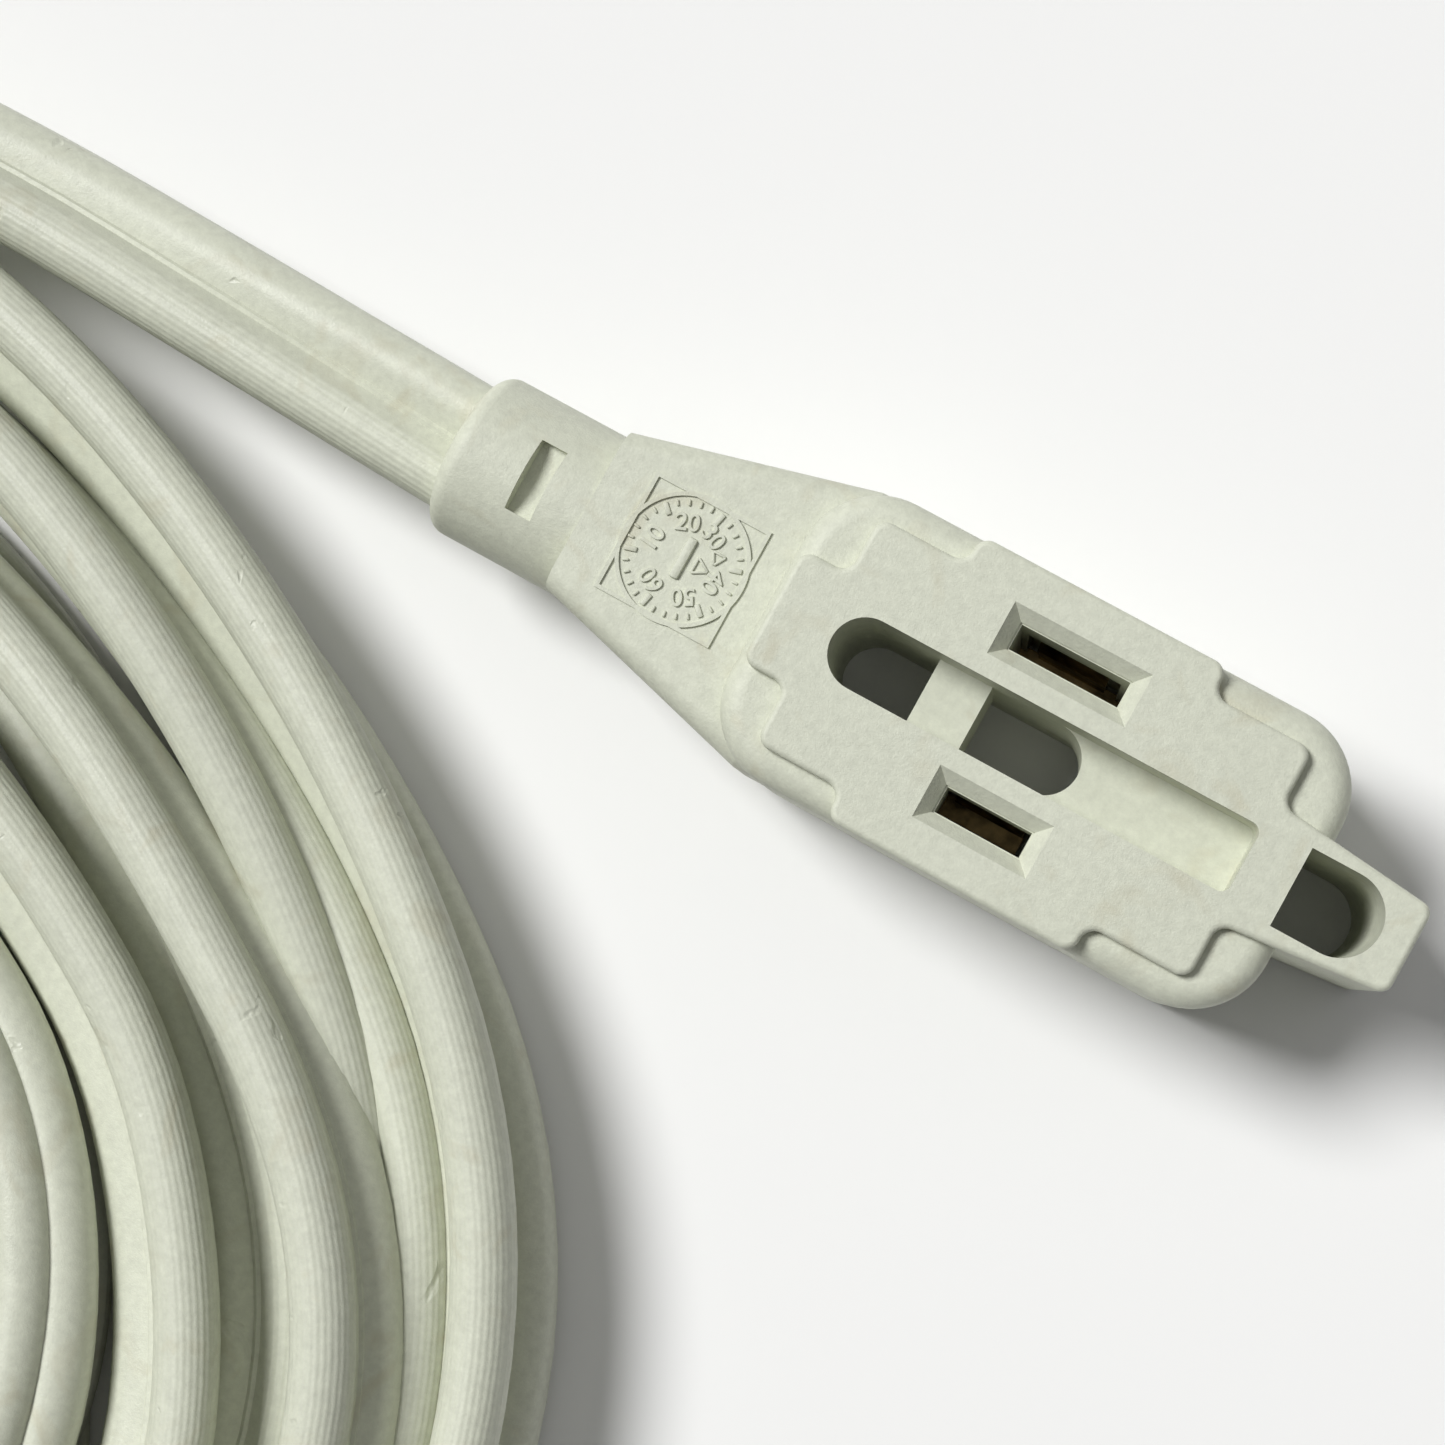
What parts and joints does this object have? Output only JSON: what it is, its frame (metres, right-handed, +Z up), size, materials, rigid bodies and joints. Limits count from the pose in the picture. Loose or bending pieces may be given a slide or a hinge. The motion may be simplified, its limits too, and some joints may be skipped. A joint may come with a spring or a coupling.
{
  "type": "extension cord",
  "caption": "Polarised household extension cord: flat moulded outlet connector with a hanging hole, coiled flat cord with a tie, and a flat blade plug.",
  "frame": {"origin": "middle of the connector head's box in plan, on the surface that the head and the coil lie on", "axes": "+X along the connector head from its collar to its nose, +Z up, out of the outlet on its face; +Y towards the head's side that has the second outlet"},
  "size_m": [0.2471, 0.1676, 0.02],
  "materials": {
    "soft_vinyl": "soft moulded vinyl, satin with a fine spark-eroded grain",
    "housing_plastic": "rigid moulded plastic, satin",
    "cord_vinyl": "extruded vinyl, satin, with fine lengthwise ridges on one core",
    "contact_brass": "rolled strip, semi-bright",
    "strand_copper": "bunched bare copper strands",
    "blade_brass": "folded strip, tumbled semi-bright",
    "tie_plastic": "ribbed plastic wire tie, satin"
  },
  "bodies": {
    "root": {"connector_overmould": "soft_vinyl", "housing_upper": "housing_plastic", "housing_lower": "housing_plastic", "neutral_contact": "contact_brass", "hot_contact": "contact_brass", "neutral_core": "cord_vinyl", "hot_core": "cord_vinyl", "neutral_strands": "strand_copper", "hot_strands": "strand_copper", "cord_lead": "cord_vinyl", "cord_coil": "cord_vinyl", "cord_tail": "cord_vinyl", "cord_tie": "tie_plastic", "plug_overmould": "soft_vinyl", "plug_bridge": "housing_plastic", "neutral_blade": "blade_brass", "hot_blade": "blade_brass", "plug_neutral_core": "cord_vinyl", "plug_hot_core": "cord_vinyl", "plug_neutral_strands": "strand_copper", "plug_hot_strands": "strand_copper"}
  },
  "joints": []
}
